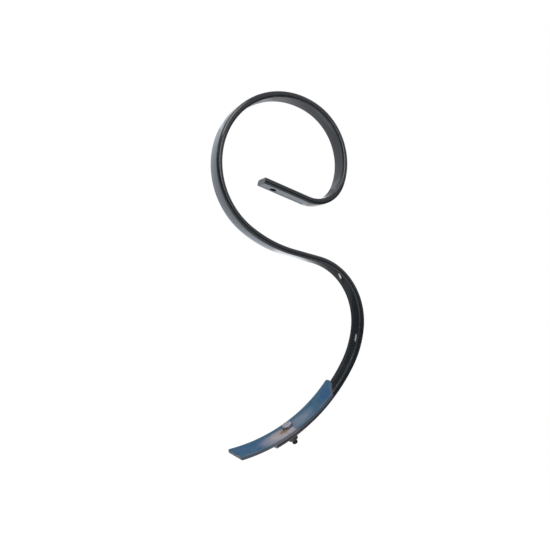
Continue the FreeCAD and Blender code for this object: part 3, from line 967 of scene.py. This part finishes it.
# Studio. The tine hangs over a white floor in a white room with two broad lamps. Cards that only
# reflections show stand round it, so the gloss paint mirrors light and dark as in a real room.
floor_size = 30
floor_height = -0.75
floor_white = (0.8, 0.8, 0.8, 1)
floor_glow = 0.4
room_light = 0.75
plain_white = (1, 1, 1, 1)
bpy.ops.mesh.primitive_plane_add(size=floor_size, location=(0, 0, floor_height))
floor = bpy.context.active_object
floor.name = "studio_floor"
floor_paint = bpy.data.materials.new("floor_white")
floor_paint.use_nodes = True
tree = floor_paint.node_tree
tree.nodes.clear()
matt = add_node(tree, "ShaderNodeBsdfDiffuse", Color=floor_white)
glow = add_node(tree, "ShaderNodeEmission", Color=plain_white)
path = add_node(tree, "ShaderNodeLightPath")
seen = sums(tree, "MAXIMUM", path.outputs["Is Camera Ray"], path.outputs["Is Glossy Ray"])
tree.links.new(times(tree, seen, floor_glow), glow.inputs["Strength"])
both = add_node(tree, "ShaderNodeAddShader")
out = add_node(tree, "ShaderNodeOutputMaterial")
tree.links.new(matt.outputs[0], both.inputs[0])
tree.links.new(glow.outputs[0], both.inputs[1])
tree.links.new(both.outputs[0], out.inputs["Surface"])
floor.data.materials.append(floor_paint)

surround = bpy.data.worlds.new("white_surround")
bpy.context.scene.world = surround
surround.use_nodes = True
tree = surround.node_tree
tree.nodes.clear()
path = add_node(tree, "ShaderNodeLightPath")
seen = sums(tree, "MAXIMUM", path.outputs["Is Camera Ray"], path.outputs["Is Glossy Ray"])
seen = sums(tree, "MAXIMUM", seen, path.outputs["Is Transmission Ray"])
white = add_node(tree, "ShaderNodeBackground", Color=plain_white, Strength=1.0)
soft = add_node(tree, "ShaderNodeBackground", Color=plain_white, Strength=room_light)
choose = add_node(tree, "ShaderNodeMixShader")
out = add_node(tree, "ShaderNodeOutputWorld")
tree.links.new(seen, choose.inputs[0])
tree.links.new(soft.outputs[0], choose.inputs[1])
tree.links.new(white.outputs[0], choose.inputs[2])
tree.links.new(choose.outputs[0], out.inputs["Surface"])


def soft_lamp(name, spot, aim, size, power):
    """Square area lamp at a place, facing a point."""
    lamp = bpy.data.lights.new(name, "AREA")
    lamp.size = size
    lamp.energy = power
    stand = bpy.data.objects.new(name, lamp)
    stand.location = spot
    stand.rotation_euler = (Vector(aim) - Vector(spot)).to_track_quat("-Z", "Y").to_euler()
    bpy.context.collection.objects.link(stand)


def reflected_card(name, corners, glow, faces=None):
    """Flat card, or a strip of joined ones, with a glow that only reflections show."""
    mesh = bpy.data.meshes.new(name)
    mesh.from_pydata(corners, [], faces or [tuple(range(len(corners)))])
    card = bpy.data.objects.new(name, mesh)
    bpy.context.collection.objects.link(card)
    finish = bpy.data.materials.new(name + "_finish")
    finish.use_nodes = True
    finish.node_tree.nodes.clear()
    shine = add_node(finish.node_tree, "ShaderNodeEmission", Color=(*glow, 1), Strength=1.0)
    out = add_node(finish.node_tree, "ShaderNodeOutputMaterial")
    finish.node_tree.links.new(shine.outputs[0], out.inputs["Surface"])
    mesh.materials.append(finish)
    card.visible_camera = False
    card.visible_diffuse = False
    card.visible_transmission = False
    card.visible_volume_scatter = False
    card.visible_shadow = False


def upright_card(name, depth, left, right, low, high, glow):
    """Upright card at one depth, from left to right and from low to high."""
    corners = [(left, depth, low), (right, depth, low), (right, depth, high), (left, depth, high)]
    reflected_card(name, corners, glow)


def graded_card(name, depth, low, high, places, glows):
    """Upright card that only reflections show; its glow changes evenly between places across it."""
    count = len(places)
    corners = [(place, depth, low) for place in places] + [(place, depth, high) for place in places]
    strips = [(k, k + 1, count + k + 1, count + k) for k in range(count - 1)]
    reflected_card(name, corners, cool_white, strips)
    card = bpy.data.objects[name]
    point_values(card, "glow", np.array(list(glows) * 2))
    tree = card.data.materials[0].node_tree
    tree.links.new(read_attribute(tree, "glow"), tree.nodes["Emission"].inputs["Strength"])


# The lamps, then the room round the viewer and the window behind it
tine_middle = (0.06, 0, -0.15)
room_back = -2.5
room_side = 3.0
room_floor = -0.74
window_depth = -2.45
cool_white = (1.0, 1.03, 1.08)
dim_wall = (0.12, 0.12, 0.12)
upper_wall = (0.85, 0.87, 0.90)
dim_floor = (0.30, 0.30, 0.30)
window_light = (6.0, 6.3, 6.9)
soft_lamp("front_lamp", (-0.8, -1.8, 1.4), tine_middle, 1.0, 18)
soft_lamp("top_lamp", (0.3, 0.6, 2.2), tine_middle, 1.4, 14)
upright_card("room_behind_viewer", room_back, -room_side, room_side, room_floor, 0.42, dim_wall)
upright_card("room_above_viewer", room_back, -room_side, room_side, 0.42, 2.4, upper_wall)
reflected_card("room_to_the_right", [(room_side, room_back, room_floor), (room_side, 1.5, room_floor),
                                     (room_side, 1.5, 1.3), (room_side, room_back, 1.3)], dim_wall)
reflected_card("floor_to_the_right", [(1.2, room_back, room_floor), (room_side, room_back, room_floor),
                                      (room_side, 1.5, room_floor), (1.2, 1.5, room_floor)], dim_floor)
upright_card("window_box", window_depth, 0.20, 0.92, 0.64, 1.05, window_light)

# Behind the leg and the crossing: dark walls, and two small lamps that the leg's paint mirrors
leg_wall_depth = 0.12
leg_lamp_depth = 0.03
leg_wall_foot = -0.52
leg_wall_head = -0.205
near_leg_dark = (0.10, 0.10, 0.10)
near_leg_grey = (0.35, 0.36, 0.38)
far_leg_dark = (0.15, 0.15, 0.16)
low_lamp_light = (8.0, 8.2, 8.5)
high_lamp_light = (7.0, 7.2, 7.5)
upright_card("dark_card_by_leg", leg_wall_depth, -0.06, 0.1775, -0.19, leg_wall_foot, near_leg_dark)
upright_card("grey_card_by_leg", leg_wall_depth, 0.1775, 0.200, leg_wall_head, leg_wall_foot, near_leg_grey)
upright_card("dark_card_behind_leg", leg_wall_depth, 0.200, 0.34, leg_wall_head, leg_wall_foot, far_leg_dark)
graded_card("crossing_card", leg_wall_depth, leg_wall_head, -0.10,
            [0.080, 0.100, 0.135, 0.155, 0.170, 0.180, 0.192, 0.202, 0.215, 0.34],
            [1.4, 2.3, 2.2, 1.8, 1.3, 0.85, 0.50, 0.32, 0.20, 0.20])
upright_card("small_lamp_low", leg_lamp_depth, 0.2130, 0.2170, -0.2245, -0.2160, low_lamp_light)
upright_card("small_lamp_high", leg_lamp_depth, 0.1845, 0.1895, -0.1485, -0.1445, high_lamp_light)

# Behind the coil: pale walls, and a thin dark rail that crosses the coil's top
coil_wall_depth = 0.345
dim_pale = (0.45, 0.46, 0.50)
rail_dark = (0.10, 0.10, 0.11)
pale_wall = (1.40, 1.52, 1.68)
graded_card("card_inside_coil", coil_wall_depth, -0.125, 0.22, [-0.20, -0.05, 0.07, 0.16, 0.24],
            [1.00, 0.98, 0.95, 0.75, 0.80])
upright_card("dim_card_over_coil", coil_wall_depth, 0.05, 0.24, 0.22, 0.31, dim_pale)
reflected_card("rail_in_room", [(0.176, 0.34, 0.137), (0.225, 0.34, 0.155), (0.222, 0.34, 0.165),
                                (0.172, 0.34, 0.147)], rail_dark)
upright_card("light_card_by_coil", 0.35, -0.75, 0.27, -0.45, 0.25, pale_wall)

bpy.context.scene.view_settings.view_transform = "Standard"
